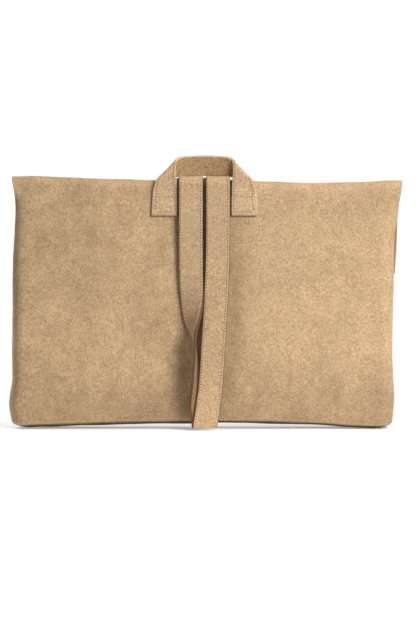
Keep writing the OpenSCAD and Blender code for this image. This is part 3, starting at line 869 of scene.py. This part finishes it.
def lifted(points):
    """Strap points raised with the crest under them."""
    points = np.array(points, float)
    points[:, 2] += CREST_LIFT * smooth((points[:, 2] - 186) / 14)
    return points


FRONT_BEND = arc((BEND_Y, CREST - BEND_RADIUS), BEND_RADIUS, 90, 180, 8)
LOOP_ROUTE = [
    (STRAP_X, -11.8, 172, 0), (10.8, -15.4, 138, 0), (9.4, -20, 105, 0), (7.4, -25.5, 72, 0),
    (5.2, -29.5, 38, 0), (2.2, -31, 15, 0), (0.8, -30.4, 6, 0), (0, -28, 3.4, 0), (-0.8, -25.7, 6, 3),
    (-1.8, -25, 12, 16), (-4.6, -25.2, 23, 42), (-6.4, -26, 38, 68), (-7.2, -25.6, 58, 84),
    (-8.4, -24, 77, 98), (-9.4, -21.4, 90, 128), (-10, -17.6, 105, 154), (-10.8, -14.6, 124, 174),
    (-STRAP_X, -12.6, 150, 180), (-STRAP_X, -11.1, 176, 180)]
bend_down = [(STRAP_X, y, z, 0) for y, z in FRONT_BEND]
bend_up = [(-STRAP_X, y, z, 180) for y, z in FRONT_BEND[::-1]]
crest_start = [(STRAP_X, -1.2, CREST, 0), (STRAP_X, -2.6, CREST, 0)]
crest_end = [(-STRAP_X, -2.6, CREST, 180), (-STRAP_X, -1.2, CREST, 180)]
loop_rows = rows_curve(crest_start + bend_down + LOOP_ROUTE + bend_up + crest_end, 330)
loop_middle = lifted(loop_rows[:, :3])
turn = np.radians(loop_rows[:, 3])
loop_across = np.stack([np.cos(turn), np.sin(turn), 0 * turn], axis=1)
loop_grid = ribbon_grid(loop_middle, loop_across, STRAP_WIDTH, STRAP)
wrist_loop_strap = sheet_object("wrist_loop_strap", loop_grid, STRAP, STRAP_FINISH, groove=STRAP_GROOVE)
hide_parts("wrist_loop_outer", "wrist_loop_inner")
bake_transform(wrist_loop_strap)

STITCH_INSET = 1.3
edge_column = STITCH_INSET / STRAP_WIDTH * (loop_grid.shape[1] - 1)
other_column = loop_grid.shape[1] - 1 - edge_column
last_row = len(loop_grid) - 1
loop_stitching = stitching("wrist_loop_stitching", [
    traced(loop_grid, [(k, column) for k in np.linspace(0, last_row, 12)])
    for column in (edge_column, other_column)])
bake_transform(loop_stitching)

TAIL_END = node_box("strap_end_left")[0][2]
tail_lines = []
for side, x in (("left", -STRAP_X), ("right", STRAP_X)):
    tail_path = [(-2.2, CREST), (-1.2, CREST), (0, CREST)]
    tail_path += arc((fold_axis[1], fold_axis[2]), FOLD_RADIUS + STRAP / 2, 90, 0, 12)
    start_y = fold_axis[1] + FOLD_RADIUS + STRAP / 2
    drop = np.linspace(fold_axis[2], TAIL_END, 14)[1:]
    tail_path += [(start_y + LEAN * (fold_axis[2] - z), z) for z in drop]
    middle = rows_curve([(x, y, z) for y, z in tail_path], 60)
    middle = lifted(middle)
    width_way = np.tile([-1.0, 0, 0], (len(middle), 1))
    tail_grid = ribbon_grid(middle, width_way, STRAP_WIDTH, STRAP)
    tail = sheet_object(f"strap_tail_{side}", tail_grid, STRAP, STRAP_FINISH, groove=STRAP_GROOVE)
    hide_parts(f"strap_bridge_{side}", f"strap_end_{side}")
    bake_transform(tail)
    rows = len(tail_grid) - 1
    end = rows - 1.5
    box_top = end - 17 / path_length(tail_path) * rows
    tail_lines.append(traced(tail_grid, [(0, edge_column), (end, edge_column)]))
    tail_lines.append(traced(tail_grid, [(0, other_column), (end, other_column)]))
    tail_lines.append(traced(tail_grid, [(end, edge_column), (end, other_column)]))
    tail_lines.append(traced(tail_grid, [(box_top, edge_column), (box_top, other_column)]))
    tail_lines.append(traced(tail_grid, [(box_top, edge_column), (end, other_column)]))
    tail_lines.append(traced(tail_grid, [(end, edge_column), (box_top, other_column)]))
tail_stitching = stitching("strap_tail_stitching", tail_lines)
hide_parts("strap_end_thread")
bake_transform(tail_stitching)

# ---- Hems ----

last_column = outer_grid.shape[1] - 1
flap_row = len(outer_rows) - 2.2
hem_stitching = stitching(
    "flap_hem_stitching", [traced(outer_grid, [(flap_row, 4.2), (flap_row, last_column - 4.2)])])
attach(hem_stitching, "flap")
rear_outer = flip(rear_grid)
mouth_row = len(rear_rows) - 2.2
mouth_stitching = stitching(
    "mouth_hem_stitching", [traced(rear_outer, [(mouth_row, 5), (mouth_row, last_column - 5)])])
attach(mouth_stitching, "bag")


# ---- Finishes on the CAD pieces that stay ----

KEPT_FINISHES = {
    "snap_socket": bright_nickel, "snap_socket_washer": nickel,
    "snap_stud": bright_nickel, "snap_stud_washer": nickel,
    "zip_teeth": nickel, "zip_stops": nickel, "zip_slider": bright_nickel, "zip_pull": bright_nickel,
    "zip_tape_upper": zip_cloth, "zip_tape_lower": zip_cloth, "card_slot_thread": camel_thread}
for node, material in KEPT_FINISHES.items():
    for material_slot in bpy.data.objects[node].material_slots:
        material_slot.material = material


# ---- Camera, floor and light ----

LENS = 135.0
CAMERA_DISTANCE = 1919.0
AIM = np.array([2.87, -8.0, 95.5])
ELEVATION = math.radians(2.5)

camera_data = bpy.data.cameras.new("camera")
camera_data.lens = LENS
camera = bpy.data.objects.new("camera", camera_data)
bpy.context.scene.collection.objects.link(camera)
camera.location = (AIM + CAMERA_DISTANCE * np.array([0, -math.cos(ELEVATION), math.sin(ELEVATION)])) * MM
camera.rotation_euler = (math.pi / 2 - ELEVATION, 0, 0)
bpy.context.scene.camera = camera
bpy.context.scene.view_settings.view_transform = "Standard"


def floor_material():
    """White paper that takes a soft shadow near the object and burns out to white further off."""
    material, tree, shader = node_material("white_floor", roughness=0.9)
    shader.inputs["Base Color"].default_value = (0.88, 0.88, 0.88, 1)
    place = tree.nodes.new("ShaderNodeTexCoord")
    oval = tree.nodes.new("ShaderNodeMapping")
    oval.inputs["Scale"].default_value = (0.5, 1.6, 1)
    length = tree.nodes.new("ShaderNodeVectorMath")
    length.operation = "LENGTH"
    tree.links.new(place.outputs["Object"], oval.inputs["Vector"])
    tree.links.new(oval.outputs["Vector"], length.inputs[0])
    # The floor glows as painted light. The glow is weaker near the middle, which leaves a painted shade
    # round the bag.
    glow = ramp(tree, length.outputs["Value"], [(0.05, (0.3,) * 3), (0.2, (0.4,) * 3), (0.5, (0.4,) * 3)])
    tree.links.new(glow, shader.inputs["Emission Color"])
    shader.inputs["Emission Strength"].default_value = 1.0
    clear = tree.nodes.new("ShaderNodeBsdfTransparent")
    fade = tree.nodes.new("ShaderNodeMixShader")
    output = tree.nodes["Material Output"]
    tree.links.new(ramp(tree, length.outputs["Value"], [(0.09, (0,) * 3), (0.24, (1,) * 3)]), fade.inputs[0])
    tree.links.new(shader.outputs[0], fade.inputs[1])
    tree.links.new(clear.outputs[0], fade.inputs[2])
    tree.links.new(fade.outputs[0], output.inputs["Surface"])
    return material


bpy.ops.mesh.primitive_circle_add(vertices=96, radius=1.1, fill_type="NGON", location=(0, 0, -0.0002))
floor = bpy.context.object
floor.name = "floor"
floor.data.materials.append(floor_material())

world = bpy.data.worlds.new("studio")
world.use_nodes = True
world_tree = world.node_tree
background = world_tree.nodes["Background"]
rays = world_tree.nodes.new("ShaderNodeLightPath")
strength = maths(world_tree, "MULTIPLY_ADD", rays.outputs["Is Camera Ray"], 0.85, 0.16)
world_tree.links.new(strength, background.inputs["Strength"])
background.inputs["Color"].default_value = (1, 1, 1, 1)
bpy.context.scene.world = world


def soft_light(name, place, size, watts):
    """A square soft light facing the middle of the bag."""
    data = bpy.data.lights.new(name, "AREA")
    data.size = size
    data.energy = watts
    light = bpy.data.objects.new(name, data)
    light.location = place
    light.rotation_euler = (Vector((0, 0, 0.1)) - Vector(place)).to_track_quat("-Z", "Y").to_euler()
    bpy.context.scene.collection.objects.link(light)


soft_light("key", (0.76, -0.92, 0.74), 0.55, 17.5)
soft_light("left_fill", (-1.1, -1.0, 0.5), 0.9, 1.5)
soft_light("top", (0.1, -0.35, 1.5), 0.9, 4.0)
soft_light("rear_key", (-0.9, 1.0, 0.7), 0.7, 14.0)
soft_light("rear_fill", (1.0, 1.1, 0.5), 0.9, 6.0)
